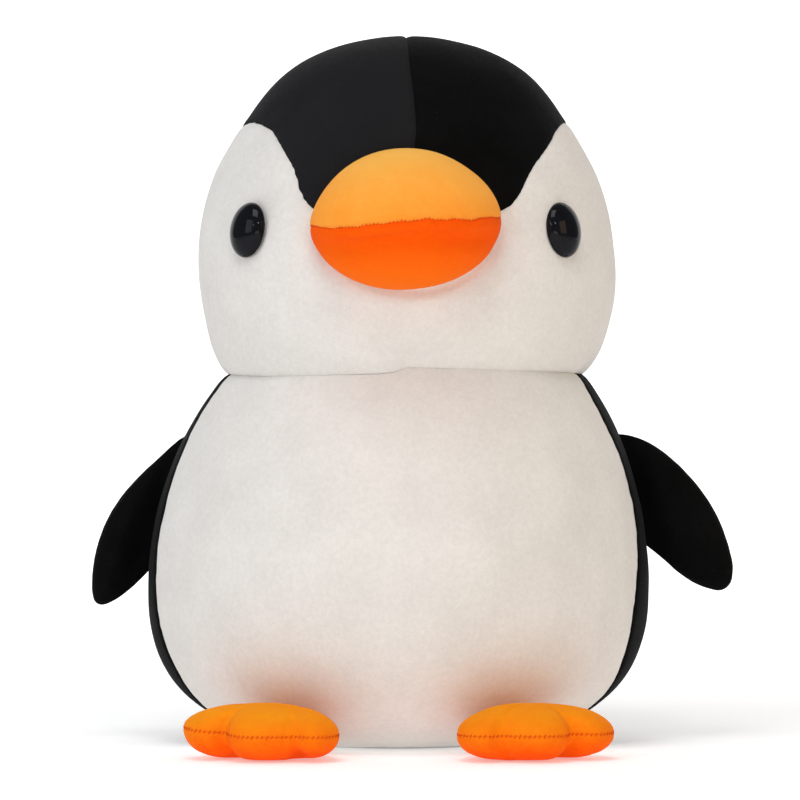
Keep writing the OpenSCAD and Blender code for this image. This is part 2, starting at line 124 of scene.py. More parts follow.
BEAK_W, BEAK_H, BEAK_LEN, BEAK_ROOT = 45.6, 33.7, 39.0, 20.0
BEAK_Y, BEAK_Z = -93.0, 255.8
BEAK_SLIM = 1.2
BEAK_ROLL = math.radians(3)
MOUTH_Z = 254.5
# The mouth seam's course over a ball of one unit's radius, as (x, z)
MOUTH_COURSE = ((-1, -0.01), (-0.72, -0.085), (-0.45, -0.075), (-0.2, -0.055), (0.2, -0.03),
                (0.45, -0.05), (0.7, -0.06), (1, -0.01))

EYE_W, EYE_H, EYE_DOME = 22.0, 27.0, 7.0
EYE_RIM, EYE_SINK = 0.6, 0.3
EYE_X, EYE_Z, EYE_LEAN = 75.5, 251.6, math.radians(5)
STEM_R, STEM_LEN = 2.5, 14.0
RIB_LOW, RIB_HIGH, RIB_PITCH, RIB_DEEP = -12.5, -4, 1.4, 0.3

# Outlines as (distance down the root line, distance out from it); the roots end inside the body
WING_OUTLINE = {
    "left": [
        (-25, -12), (-22.3, -4), (-19.3, 2.6), (-14.2, 9.2), (-5.3, 16.4), (5.7, 22.9), (17.8, 28),
        (31, 31.3), (45, 32.3), (56.5, 31.5), (65, 27.8), (67.3, 21.3), (62, 12.3), (53.5, 4.3),
        (45, -0.9), (38, -5.6), (31, -11), (26, -18), (0, -14)],
    "right": [
        (-24.5, -13), (-21.2, -6.7), (-15.9, -2.8), (-9.2, 1.2), (-2.5, 5.2), (6, 9.8), (17, 14.4),
        (30, 17.6), (42, 18.3), (53, 17.2), (63.5, 14.6), (69.8, 11.2), (70.6, 6.8), (66.5, 1.5),
        (59, -4.2), (52, -8.3), (44, -12.6), (36, -19), (8, -16)],
}
WING_MIDDLE = {"left": (26, 8), "right": (28, 2)}
WING_SLANT, WING_TURN = math.radians(17.5), math.radians(15)
WING_THICK = 18.0

FOOT_OUTLINE = [
    (-4.2, 0), (-2.5, -8.5), (13, -17.5), (30, -31), (46, -39), (57.5, -37.5), (63.5, -31),
    (62, -23.5), (67.5, -16.5), (71.5, -8), (72, 0), (69.5, 7), (62, 12.5), (66.5, 20), (65, 28.5),
    (57, 36), (45, 36.3), (30, 28.5), (13, 16.5), (-2.5, 8.5),
]
# Each valley between toes, as its notch, its end towards the heel and its depth as a share; like
# the outline, places are (distance ahead, distance out)
FOOT_VALLEYS = {"left": (((63, 13), (38, 9), 0.34), ((61, -24), (44, -17), 0.06)),
                "right": (((63, 13), (40, 9), 0.26), ((61, -23.5), (38, -16), 0.45))}
# The rim seam's height on the inner side, and its rise towards the outer side
FOOT_RIM = {"left": (12.6, 0.0), "right": (12.2, 2.4)}
FOOT_MIDDLE = (40, 0)
FOOT_SPLAY = math.radians(20)
FOOT_THICK, HEEL_R, HEEL_LEN, HEEL_Z = 26.5, 4.4, 44.0, 5.0

# Stitches: their thread's radius, their usual length and the distance from one to the next
THREAD_R, STITCH_LEN = 0.3, 1.8
MOUTH_PITCH, FOOT_PITCH = 1.9, 2.3

# How far each filling stays inside its cloth
HEAD_INSET, BODY_INSET, BEAK_INSET, WING_INSET, FOOT_INSET = 4.6, 5.0, 3.2, 2.6, 2.4
# Two distances out from each joint's hinge; a piece given the places they mark is baked in place and
# not sewn to a body
WING_BLEND, FOOT_BLEND = (-3, 6), (-3, 9)

# How many squares run across each face of the cube that a ball is made from
TORSO_SQUARES = 120
LIMB_SQUARES = 56
BEAK_SQUARES = LIMB_SQUARES + 24
FOOT_SQUARES = LIMB_SQUARES + 8
EYE_SQUARES = 24
FILL_SQUARES = 30
TORSO_FILL_SQUARES = 48

# The stage and camera, in metres
FLOOR_HALF, FLOOR_FRONT, FLOOR_BACK, FLOOR_LEVEL = 6, -4, 2.0, -0.0002
SWEEP_R, BACKDROP_TOP = 1.2, 6
CAMERA_X, CAMERA_AWAY, CAMERA_Z = 0.00075, 2.2, 0.1696
VIEW_WIDTH, SENSOR_MM = 0.3976, 36.0


# ---------- sums on many points ----------

def smooth(t):
    """A soft step from nought at 0 to one at 1."""
    t = np.clip(t, 0, 1)
    return t * t * (3 - 2 * t)


def bump_of(t):
    """One at nought, falling away smoothly on both sides."""
    return np.exp(-np.square(t))


def along(place, course):
    """A number read off a course of (place, number) pairs."""
    return np.interp(place, *np.transpose(course))


def lumps(points, size, seed):
    """Soft unevenness from -1 to 1 with features of about that size."""
    shift = Vector((seed * 17.3, seed * 5.9, seed * 11.7))
    return np.array([noise.noise(Vector(p) / size + shift) for p in points])


def curve_through(points, steps, closed=False):
    """Points along a smooth curve through the given ones."""
    p = [np.array(q, float) for q in points]
    count = len(p)
    out = []
    for i in range(count if closed else count - 1):
        near = [(i + k) % count if closed else min(max(i + k, 0), count - 1) for k in (-1, 0, 1, 2)]
        a, b, c, d = (p[k] for k in near)
        for t in np.arange(steps) / steps:
            out.append(b + (c - a) * t / 2 + (2 * a - 5 * b + 4 * c - d) * t * t / 2
                       + (3 * b - a - 3 * c + d) * t ** 3 / 2)
    if not closed:
        out.append(p[-1])
    return np.array(out)


def to_polyline(points, line, closed=False):
    """Distance in the plane from each point to a polyline, and whether it is inside a closed one."""
    best = np.full(len(points), 1e9)
    inside = np.zeros(len(points), bool)
    ends = np.roll(line, -1, axis=0) if closed else line[1:]
    for a, b in zip(line, ends):
        d = b - a
        t = np.clip((points - a) @ d / max(d @ d, 1e-12), 0, 1)
        best = np.minimum(best, np.linalg.norm(points - a - t[:, None] * d, axis=1))
        if closed and a[1] != b[1]:
            crosses = (a[1] > points[:, 1]) != (b[1] > points[:, 1])
            x = a[0] + (points[:, 1] - a[1]) * d[0] / d[1]
            inside ^= crosses & (points[:, 0] < x)
    return best, inside


def gap_to(points, targets):
    """Distance from each point to the nearest target."""
    tree = kdtree.KDTree(len(targets))
    for i, t in enumerate(targets):
        tree.insert(t, i)
    tree.balance()
    return np.array([tree.find(p)[2] for p in points])


def roll_in(gap, depth, width):
    """How far cloth turns in towards a seam that is gap away."""
    t = 1 - np.clip(gap / width, 0, 1)
    return -depth * (1 - np.sqrt(np.maximum(0, 1 - t * t)))


def puckers(points, gap, size, height, reach, seed):
    """Small gathers beside a seam."""
    return height * lumps(points, size, seed) * np.exp(-np.square(gap / reach))


# ---------- stuffed balls cut into panels ----------

def places(bm):
    """Every point's place, one row each."""
    return np.array([v.co for v in bm.verts])


def normals(bm):
    """Which way the surface faces at every point."""
    bm.normal_update()
    return np.array([v.normal for v in bm.verts])


def move(bm, points):
    """Puts every point in its new place."""
    for v, p in zip(bm.verts, points):
        v.co = p


def unit(points):
    """The points' directions from the origin."""
    return points / np.linalg.norm(points, axis=1)[:, None]


def ball(squares):
    """A ball of one unit's radius, made of even squares."""
    bm = bmesh.new()
    bmesh.ops.create_cube(bm, size=2)
    bmesh.ops.subdivide_edges(bm, edges=bm.edges[:], cuts=squares - 1, use_grid_fill=True)
    move(bm, unit(np.tan(places(bm) * math.pi / 4)))
    return bm


def cut(bm, field):
    """Cuts the ball's faces where field, one number a point, passes through nought."""
    home = bm.verts.layers.float_vector.get("home") or bm.verts.layers.float_vector.new("home")
    for v, f in zip(bm.verts, field):
        v[home] = v.co
        v.co.x = f
    bmesh.ops.bisect_plane(
        bm, geom=bm.verts[:] + bm.edges[:] + bm.faces[:], dist=1e-3,
        plane_co=(0, 0, 0), plane_no=(1, 0, 0))
    for v in bm.verts:
        v.co = v[home]
    move(bm, unit(places(bm)))


def face_out(bm):
    """Turns a closed mesh's faces outwards."""
    if bm.calc_volume(signed=True) < 0:
        bmesh.ops.reverse_faces(bm, faces=bm.faces)


def face_middles(bm):
    """The direction of each face of a ball."""
    return unit(np.array([f.calc_center_median() for f in bm.faces]))


def name_panels(bm, names):
    """Notes each face's panel, and gives back the points on the seams between panels."""
    layer = bm.faces.layers.int.get("panel") or bm.faces.layers.int.new("panel")
    for f, n in zip(bm.faces, names):
        f[layer] = int(n)
    return np.array([len({f[layer] for f in v.link_faces}) > 1 for v in bm.verts])


def panel_of(bm, number):
    """A copy of one panel."""
    part = bm.copy()
    layer = part.faces.layers.int["panel"]
    bmesh.ops.delete(part, geom=[f for f in part.faces if f[layer] != number], context="FACES")
    return part


# ---------- finished pieces ----------

def finish_piece(bm, name, finish, nodes=(), body="torso", thick=0.0, bend=None):
    """Makes a piece of a bmesh in millimetres and sews it to its body; given a bend, it is only baked
    in place and not sewn to a body.
    """
    material, slot = finish
    bmesh.ops.scale(bm, vec=(MM, MM, MM), verts=bm.verts)
    for layers in (bm.verts.layers.float_vector, bm.faces.layers.int):
        for layer in list(layers.values()):
            layers.remove(layer)
    if thick:
        for edge in bm.edges:
            edge.smooth = not edge.is_boundary
    for face in bm.faces:
        face.smooth = True
    mesh = bpy.data.meshes.new(name)
    bm.to_mesh(mesh)
    bm.free()
    mesh.materials.append(material)
    piece = bpy.data.objects.new(name, mesh)
    bpy.context.scene.collection.objects.link(piece)
    if thick:
        wall = piece.modifiers.new("cloth", "SOLIDIFY")
        wall.thickness = thick * MM
        wall.offset = -1
    if bend:
        start, end = (tuple(p * MM) for p in bend)
        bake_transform(piece)
    else:
        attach(piece, body)
    if nodes:
        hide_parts(*nodes)


# ---------- materials ----------

class Value:
    """A shader socket that takes part in sums."""

    def __init__(self, finish, socket):
        self.finish, self.socket = finish, socket

    def _sum(self, operation, a, b):
        return self.finish.node("ShaderNodeMath", {"operation": operation}, {0: a, 1: b})

    def __add__(self, other):
        return self._sum("ADD", self, other)

    def __radd__(self, other):
        return self._sum("ADD", other, self)

    def __mul__(self, other):
        return self._sum("MULTIPLY", self, other)

    def __rmul__(self, other):
        return self._sum("MULTIPLY", other, self)


class Finish:
    """One material, built from nodes."""

    def __init__(self, name, **shader):
        self.material = bpy.data.materials.new(name)
        self.material.use_nodes = True
        self.tree = self.material.node_tree
        self.shader = self.tree.nodes["Principled BSDF"]
        for socket, value in shader.items():
            self.shader.inputs[socket.replace("_", " ")].default_value = value

    def node(self, kind, settings=None, inputs=None, out=0):
        """Adds a node with its settings and inputs, and gives back one of its outputs."""
        made = self.tree.nodes.new(kind)
        for key, value in (settings or {}).items():
            setattr(made, key, value)
        for key, value in (inputs or {}).items():
            if isinstance(value, Value):
                self.tree.links.new(value.socket, made.inputs[key])
            else:
                made.inputs[key].default_value = value
        return Value(self, made.outputs[out])

    def noise(self, where, scale, detail=2.0, roughness=0.5):
        return self.node("ShaderNodeTexNoise", {}, {
            "Vector": where, "Scale": scale, "Detail": detail, "Roughness": roughness})

    def mix(self, share, a, b):
        return self.node("ShaderNodeMix", {"data_type": "RGBA"}, {0: share, 6: a, 7: b}, out=2)

    def range(self, value, low, high, to_low=0.0, to_high=1.0):
        return self.node("ShaderNodeMapRange", {"clamp": True}, {
            0: value, 1: low, 2: high, 3: to_low, 4: to_high})

    def where(self):
        """Places in the piece's own space."""
        return self.node("ShaderNodeTexCoord", out="Object")

    def grain(self, strength, distance, height):
        """Fine relief of the surface."""
        self.set("Normal", self.node("ShaderNodeBump", {}, {
            "Strength": strength, "Distance": distance, "Height": height}))

    def set(self, socket, value):
        self.tree.links.new(value.socket, self.shader.inputs[socket])


def rgb(red, green, blue):
    return (red, green, blue, 1.0)


def grey(shade):
    return rgb(shade, shade, shade)


def velour(name, slot, deep, light, sheen, sheen_tint, nap=0.35, brushed=0.5, rough=0.86,
           gloss=0.2, painted_light=None):
    """Short-napped velour: fine pile, small clumps and larger brushed patches.

    painted_light is an axis and two places along it: from the first to the second the colour is
    painted lighter, as painted light and shade on the piece.
    """
    f = Finish(name + "_velour", Sheen_Weight=sheen, Sheen_Roughness=0.42, Sheen_Tint=sheen_tint,
               Specular_IOR_Level=gloss)
    where = f.where()
    pile = f.noise(where, 1900, 3, 0.65)
    clump = f.noise(where, 420, 3, 0.6)
    patch = f.noise(where, 34, 3, 0.55)
    tone = f.range(pile * 0.35 + clump * 0.3 + patch * brushed, 0.3 + brushed * 0.25,
                   0.4 + brushed * 0.75)
    # Painted light and shade: the colour grows lighter along the given axis
    if painted_light:
        axis, start, end = painted_light
        along = f.node("ShaderNodeSeparateXYZ", {}, {0: where}, out=axis)
        tone = tone * 0.3 + f.range(along + patch * 0.004, start, end, 0.0, 0.7)
    f.set("Base Color", f.mix(tone, deep, light))
    f.set("Roughness", f.range(clump + patch * 0.6, 0.5, 1.15, rough - 0.1, rough + 0.09))
    f.grain(nap, 0.0005, pile * 0.5 + clump * 0.8)
    return f.material, slot


def fibre(slot):
    """Matted polyester filling."""
    f = Finish(slot + "_mat", Sheen_Weight=0.3, Roughness=0.95)
    where = f.where()
    strands = f.noise(where, 700, 4, 0.7)
    tufts = f.noise(where, 120, 3, 0.6)
    f.set("Base Color", f.mix(tufts, rgb(0.66, 0.66, 0.64), rgb(0.88, 0.88, 0.86)))
    f.grain(0.8, 0.0012, strands * 0.6 + tufts)
    return f.material, slot


def moulded(slot, colour, light, rough, coat):
    """Moulded plastic with faint handling marks."""
    f = Finish(slot + "_moulding", Specular_IOR_Level=0.05, Coat_Weight=coat, Coat_Roughness=0.03,
               Coat_IOR=1.25)
    where = f.where()
    marks = f.noise(where, 900, 2)
    cloud = f.noise(where, 90, 2)
    f.set("Base Color", f.mix(cloud, colour, light))
    f.set("Roughness", f.range(marks, 0.35, 0.75, rough, rough + 0.06))
    return f.material, slot


def thread(slot, deep, light):
    """Twisted sewing thread."""
    f = Finish(slot + "_thread", Specular_IOR_Level=0.1)
    where = f.where()
    twist = f.node("ShaderNodeTexWave", {"bands_direction": "DIAGONAL"}, {
        "Vector": where, "Scale": 900.0, "Distortion": 1.5}, out="Fac")
    f.set("Base Color", f.mix(twist, deep, light))
    f.set("Roughness", f.range(twist, 0, 1, 0.6, 0.8))
    return f.material, slot


BLACK = velour("black", "black_plush", rgb(0.0012, 0.0012, 0.0012), rgb(0.005, 0.005, 0.0052),
               0.02, rgb(0.9, 0.95, 1.0), nap=0.5, brushed=0.7, gloss=0.05)
# Painted light: a lighter copy of the black plush for the cap half that faces the key lamp, lighter
# still towards the front
BLACK_LIT = velour("key_lit_black", "black_plush", rgb(0.0025, 0.0025, 0.0027),
                  rgb(0.0145, 0.0145, 0.0165), 0.03, rgb(0.9, 0.95, 1.0), nap=0.5, brushed=0.7,
                  gloss=0.06, painted_light=(1, 0.03, -0.05))
WHITE = velour("white", "white_plush", rgb(0.72, 0.70, 0.665), rgb(0.84, 0.82, 0.785),
               0.08, rgb(1, 1, 1), nap=0.45, brushed=0.3, gloss=0.1)
# Painted light: the upper beak is painted lighter towards its top, where light falls from above
AMBER = velour("amber", "light_orange_plush", rgb(0.96, 0.30, 0.026), rgb(1.0, 0.56, 0.11),
               0.06, rgb(1.0, 0.75, 0.4), nap=0.45, gloss=0.06, painted_light=(2, 0.258, 0.290))
# Painted shade: the lower beak is painted darker just under the mouth seam and lighter towards its
# bottom
ORANGE = velour("orange", "orange_plush", rgb(0.93, 0.085, 0.0005), rgb(1.0, 0.19, 0.006),
                0.05, rgb(1.0, 0.5, 0.15), nap=0.45, gloss=0.05, painted_light=(2, 0.247, 0.224))
# Painted light: the feet are painted lighter towards their tops, where the top light falls
FOOT_ORANGE = velour("foot_orange", "orange_plush", rgb(0.95, 0.085, 0.0005),
                     rgb(1.0, 0.37, 0.01), 0.05, rgb(1.0, 0.5, 0.15), nap=0.45, gloss=0.05,
                     painted_light=(2, 0.006, 0.024))
FIBRE = fibre("fibre_fill")
GLOSS = moulded("eye_gloss", rgb(0.004, 0.004, 0.005), rgb(0.007, 0.008, 0.012), 0.05, 0.55)
WASHER = moulded("washer_plastic", rgb(0.72, 0.72, 0.7), rgb(0.8, 0.8, 0.78), 0.4, 0.0)
ORANGE_THREAD = thread("orange_plush", rgb(0.6, 0.065, 0.004), rgb(0.85, 0.15, 0.012))


# ---------- the torso's leaning and shifting ----------

def leaned(points):
    """Carries body and head sideways, more with height, as the toy stands."""
    moved = points.copy()
    moved[:, 0] += HEAD_LEAN * smooth((points[:, 2] - LEAN_FROM) / LEAN_OVER)
    return moved


def neck_wave(points):
    """The neck seam isn't quite level at the front."""
    x, y, z = points.T
    moved = points.copy()
    moved[:, 2] += along(x, NECK_WAVE) * bump_of((z - NECK_Z) / 15) * smooth(-y / 55)
    return moved


def neck_depth(points):
    """How far the neck seam is drawn in: little at the front and more at the sides and back."""
    x, y, _ = points.T
    return NECK_DEPTH * (1 - NECK_EASE * smooth(-y / 30) * (1 - smooth((np.abs(x) - 50) / 32)))


def settled(points):
    """The toy's own slump: leaning, with the cheeks a little towards its left."""
    moved = neck_wave(leaned(points))
    moved[:, 0] += CHEEK_SHIFT * bump_of((points[:, 2] - CHEEK_Z) / 30)
    return moved


# ---------- head ----------

def head_place(n):
    """The head's surface in the direction n, a little blunter at the crown than an egg."""
    z = n[:, 2]
    up = HEAD_UP * z + CROWN_BLUNT * np.sin(math.pi * np.clip((1 - z) / 0.34, 0, 1))
    up -= TEMPLE_SLIM * bump_of((z - 0.55) / 0.1) * (z > 0)
    return np.column_stack([
        HEAD_W * n[:, 0], HEAD_D * n[:, 1], HEAD_Z + np.where(z > 0, up, HEAD_DOWN * z)])


def cap_drift(points):
    """The cap sits a little towards the toy's left at the front."""
    x, y, z = points.T
    depth = HEAD_D * np.sqrt(np.maximum(0.02, 1 - np.square((z - HEAD_Z) / HEAD_UP)))
    moved = points.copy()
    moved[:, 0] += along(z, CAP_DRIFT) * smooth(-y / depth * 1.35)
    moved[:, 0] += 3.4 * bump_of(x / 22) * smooth((248 - z) / 12) * smooth(-y / 30)
    return moved


def eye_place():
    """Turns an eye's own space, with +Z straight out of the face, into the toy's left eye's place."""
    y = -HEAD_D * math.sqrt(1 - (EYE_X / HEAD_W) ** 2 - ((EYE_Z - HEAD_Z) / HEAD_UP) ** 2)
    out = Vector((EYE_X / HEAD_W ** 2, y / HEAD_D ** 2, (EYE_Z - HEAD_Z) / HEAD_UP ** 2))
    azimuth = math.atan2(out.x, -out.y)
    rise = math.asin(out.z / out.length)
    return (Matrix.Translation((EYE_X, y, EYE_Z)) @ Matrix.Rotation(azimuth, 4, "Z")
            @ Matrix.Rotation(math.pi / 2 - rise, 4, "X"))


def on_side(point, side):
    """A place of the toy's left, or the same on its right."""
    return np.array(point) * ((1, 1, 1) if side == "left" else (-1, 1, 1))


EYE_AT = {side: on_side(eye_place().translation, side) for side in SIDES}
CAP_SEAM = np.vstack([curve_through(SEAM_RISE, 8), curve_through(SEAM_FALL, 8)])
FACE_AREA = np.vstack([CAP_SEAM, [(5, 120), (-160, 120), (-160, 256)]])


def cap_field(points):
    """Below nought on the face and above it on the cap, with a finely scalloped edge."""
    gap, inside = to_polyline(points[:, 1:], FACE_AREA, closed=True)
    return np.where(inside, -gap, gap) + 0.3 * lumps(points, 2.6, 3)


def beak_edge(points):
    """How far a place on the head is outside the beak's outline, roughly, in millimetres."""
    x, z = beak_turned(points[:, 0], points[:, 2], -1)
    share = np.sqrt(np.square(x / BEAK_W) + np.square(z / BEAK_H))
    return np.where(points[:, 1] < 0, (share - 1) * BEAK_H, 99)


def beak_turned(x, z, way):
    """Rolls front-view places about the beak's middle, or back again when way is -1."""
    c, s = math.cos(BEAK_ROLL), math.sin(BEAK_ROLL) * way
    if way > 0:
        return x * c - z * s, BEAK_Z + x * s + z * c
    z = z - BEAK_Z
    return x * c - z * s, x * s + z * c


def make_head():
    bm = ball(TORSO_SQUARES)
    cut(bm, head_place(places(bm))[:, 2] - NECK_Z)
    below = head_place(face_middles(bm))[:, 2] < NECK_Z
    bmesh.ops.delete(bm, geom=[f for f, low in zip(bm.faces, below) if low], context="FACES")
    cut(bm, cap_field(head_place(places(bm))))
    cut(bm, places(bm)[:, 0])
    middle = face_middles(bm)
    seam = name_panels(bm, (cap_field(head_place(middle)) > 0) * 2 + (middle[:, 0] > 0))

    n = places(bm)
    flat = head_place(n)
    move(bm, flat)
    out = normals(bm)
    rim = np.array([v.is_boundary for v in bm.verts])
    gap = gap_to(flat, flat[seam])
    neck = gap_to(flat, flat[rim])
    out[:, 2] *= smooth(neck / NECK_LEVEL)
    chin = seam & (np.abs(flat[:, 0]) < 0.01) & (flat[:, 2] < 256) & (flat[:, 1] < 0)
    chin_gap = gap_to(flat, flat[chin])
    hard = gap_to(flat, flat[seam & ~chin])
    # Soft unevenness, then cloth drawn in at the seams, the neck, the eyes and the beak
    swell = (0.7 * lumps(flat, 46, 1) + 0.22 * lumps(flat, 15, 2)) * smooth(neck / NECK_CALM)
    swell += roll_in(hard, 1.1, 4.5) + roll_in(chin_gap, 0.05, 3.0)
    swell += roll_in(neck, 1, NECK_WIDTH) * neck_depth(flat)
    swell += 0.4 * bump_of((neck - 13) / 9) - 0.4 * bump_of(neck / 6)
    swell += puckers(flat, gap, 4.2, 0.22, 4, 4) + puckers(flat, neck, 11, 0.5, 9, 5)
    for side in SIDES:
        r = np.linalg.norm(flat - EYE_AT[side], axis=1)
        swell += -1.3 * bump_of(r / 12.5) + 0.35 * bump_of((r - 20) / 7)
    swell += -1.6 * bump_of(beak_edge(flat) / 3.2)
    move(bm, settled(cap_drift(flat + out * swell[:, None])))
    # The cap's right half takes the black with painted key light
    for number, (name, kind) in enumerate((
            ("face_right", WHITE), ("face_left", WHITE), ("cap_right", BLACK_LIT), ("cap_left", BLACK))):
        finish_piece(panel_of(bm, number), name + "_plush", kind, [name],
                     thick=CLOTH)
    bm.free()


# ---------- body ----------

def body_place(n):
    """The body's surface in the direction n, fuller below its widest level."""
    flat, up = np.hypot(n[:, 0], n[:, 1]), np.abs(n[:, 2])
    low = n[:, 2] < 0
    full = np.power(np.power(flat, BODY_FULLNESS) + np.power(up, BODY_FULLNESS), -1 / BODY_FULLNESS)
    grow = np.where(low, full, 1.0)
    return np.column_stack([
        BODY_W * n[:, 0] * grow, BODY_D * n[:, 1] * grow,
        BODY_Z + n[:, 2] * grow * np.where(low, BODY_DOWN, BODY_UP)])


def side_field(points):
    """Below nought in front of the side seams and above it behind them, in degrees."""
    turn = np.degrees(np.arctan2(points[:, 0] / BODY_W, -points[:, 1] / BODY_D))
    course = np.where(turn > 0, *(
        along(points[:, 2], curve_through(SIDE_SEAM[side], 8)) for side in SIDES))
    return np.abs(turn) - course


def wing_frame(side):
    """A wing's hinge and its directions down the root, out from it and to the front."""
    down = np.array((math.sin(WING_SLANT), 0, -math.cos(WING_SLANT)))
    out = (math.cos(WING_TURN) * np.array((math.cos(WING_SLANT), 0, math.sin(WING_SLANT)))
           + math.sin(WING_TURN) * np.array((0, -1, 0)))
    front = np.cross(down, out)
    return hinge_of(f"wing_{side}_swing"), *(on_side(d, side) for d in (down, out, front))


def make_body():
    bm = ball(TORSO_SQUARES)
    cut(bm, body_place(places(bm))[:, 2] - NECK_Z)
    above = body_place(face_middles(bm))[:, 2] > NECK_Z
    bmesh.ops.delete(bm, geom=[f for f, high in zip(bm.faces, above) if high], context="FACES")
    cut(bm, body_place(places(bm))[:, 2])
    cut(bm, side_field(body_place(places(bm))))
    cut(bm, places(bm)[:, 0])
    middle = body_place(face_middles(bm))
    panels = np.where(middle[:, 2] < 0, 3, np.where(
        side_field(middle) < 0, 2, (middle[:, 0] > 0) * 1))
    seam = name_panels(bm, panels)

    flat = body_place(places(bm))
    move(bm, flat)
    out = normals(bm)
    rim = np.array([v.is_boundary for v in bm.verts])
    gap = gap_to(flat, flat[seam])
    neck = gap_to(flat, flat[rim])
    # Soft unevenness, then cloth drawn in at the seams, the neck and the wings' roots
    swell = (0.9 * lumps(flat, 60, 6) + 0.3 * lumps(flat, 18, 7)) * smooth(neck / NECK_CALM)
    out[:, 2] *= smooth(neck / NECK_LEVEL)
    swell += roll_in(gap, 1.2, 4.5) + roll_in(neck, 1, NECK_WIDTH) * neck_depth(flat)
    swell += puckers(flat, gap, 5, 0.3, 5, 8) + puckers(flat, neck, 11, 0.5, 9, 5)
    for side in SIDES:
        hinge, down, away, _ = wing_frame(side)
        root = [hinge + down * t - away * 5 for t in np.arange(-20, 50, 1.5)]
        swell += -1.3 * bump_of(gap_to(flat, root) / 7)
    under = flat[:, 2] < 1
    swell[under] = np.minimum(swell[under], 0)
    done = settled(flat + out * swell[:, None])
    done[:, 2] = np.maximum(done[:, 2], 0.0)
    base = flat[:, 2] < 0.001
    done[base, 2] = 0.35 * bump_of(gap[base] / 2.5)
    move(bm, done)
    for number, (name, kind) in enumerate((
            ("back_right", BLACK), ("back_left", BLACK), ("belly_panel", WHITE),
            ("base_panel", BLACK))):
        finish_piece(panel_of(bm, number), name + "_plush", kind, [name],
                     thick=CLOTH)
    bm.free()


# ---------- beak ----------

def beak_place(n, deep=0.0):
    """The beak's surface in the direction n, or that much deeper."""
    x, y, z = n.T
    bent = np.hypot(y, z)
    up = np.where(z > 0, 1.0, -1.0)
    back = np.power(np.power(np.hypot(x, z), 4) + np.power(np.maximum(y, 0), 4) + 1e-9, -0.25)
    size = np.where(y > 0, np.minimum(back, 1 / np.maximum(np.hypot(x, z), 1e-6)), 1.0)
    reach = BEAK_H + up * (BEAK_Z - MOUTH_Z) - deep
    across = (BEAK_W - deep) * x * size
    slim = np.where(z > 0, BEAK_SLIM, 1.0) - 1
    rise = reach * z * size * np.power(np.maximum(bent, 0.02), slim)
    px, pz = beak_turned(across, rise + MOUTH_Z - BEAK_Z, 1)
    py = BEAK_Y + np.where(y > 0, BEAK_ROOT, BEAK_LEN - deep) * y
    return np.column_stack([px + HEAD_LEAN, py, pz])


def mouth_field(n):
    """Above nought over the wavy mouth seam and below it under the seam."""
    wave = 0.009 * np.sin(n[:, 0] * 21) + 0.005 * np.sin(n[:, 0] * 47)
    return n[:, 2] - along(n[:, 0], MOUTH_COURSE) + wave


def make_beak():
    bm = ball(BEAK_SQUARES)
    cut(bm, mouth_field(places(bm)))
    seam = name_panels(bm, mouth_field(face_middles(bm)) > 0)
    n = places(bm)
    lower = mouth_field(n) < 0
    flat = beak_place(n)
    move(bm, flat)
    out = normals(bm)
    gap = gap_to(flat, flat[seam])
    ends = smooth((1 - np.abs(n[:, 0])) / 0.3)
    swell = 0.5 * lumps(flat, 24, 11) + roll_in(gap, 1.0, 2.8)
    swell += puckers(flat, gap, 3, 0.4, 3.5, 12) * ends
    # A ridge under the mouth seam with a hollow below it, and a faint ridge above
    under = 2.1 * bump_of((gap - 3.4) / 2.1) - 2.1 * bump_of((gap - 10) / 5)
    swell += ends * np.where(lower, under, 0.3 * bump_of((gap - 4.5) / 2.5))
    move(bm, flat + out * swell[:, None])
    sew_line(bm, seam & (n[:, 1] < 0.15), "beak", MOUTH_PITCH, "torso")
    for number, (name, kind) in enumerate((("beak_lower", ORANGE), ("beak_upper", AMBER))):
        finish_piece(panel_of(bm, number), name + "_plush", kind, [name],
                     thick=CLOTH)
    bm.free()
    fill = ball(FILL_SQUARES)
    inner = beak_place(places(fill), BEAK_INSET)
    move(fill, inner + 0.5 * lumps(inner, 9, 13)[:, None] * unit(places(fill)))
    finish_piece(fill, "beak_filling_fibre", FIBRE, ["beak_filling"])


# ---------- stitches ----------

def sew_line(bm, on_seam, name, pitch, body, bend=None):
    """Small stitches of thread across a seam, one every pitch along it."""
    run = seam_run(bm, on_seam)
    steps = np.linalg.norm(np.diff(run[:, :3], axis=0), axis=1)
    far = np.concatenate([[0], np.cumsum(steps)])
    stitches = bmesh.new()
    for i, at in enumerate(np.arange(pitch, far[-1] - pitch, pitch)):
        p = np.array([np.interp(at, far, run[:, k]) for k in range(6)])
        q = np.array([np.interp(at + 0.3, far, run[:, k]) for k in range(3)])
        ahead = Vector(q - p[:3]).normalized()
        out = Vector(p[3:]).normalized()
        side = out.cross(ahead).normalized()
        slant = (ahead * 0.45 + side * 0.9).normalized()
        turn = Matrix((out.cross(slant).normalized(), slant, out)).transposed().to_4x4()
        place = Matrix.Translation(Vector(p[:3]) + out * 0.35) @ turn
        bmesh.ops.create_cone(
            stitches, cap_ends=True, segments=6, radius1=THREAD_R, radius2=THREAD_R,
            depth=STITCH_LEN + 0.35 * math.sin(i * 2.4),
            matrix=place @ Matrix.Rotation(math.pi / 2, 4, "X"))
    finish_piece(stitches, name + "_stitches", ORANGE_THREAD, body=body, bend=bend)


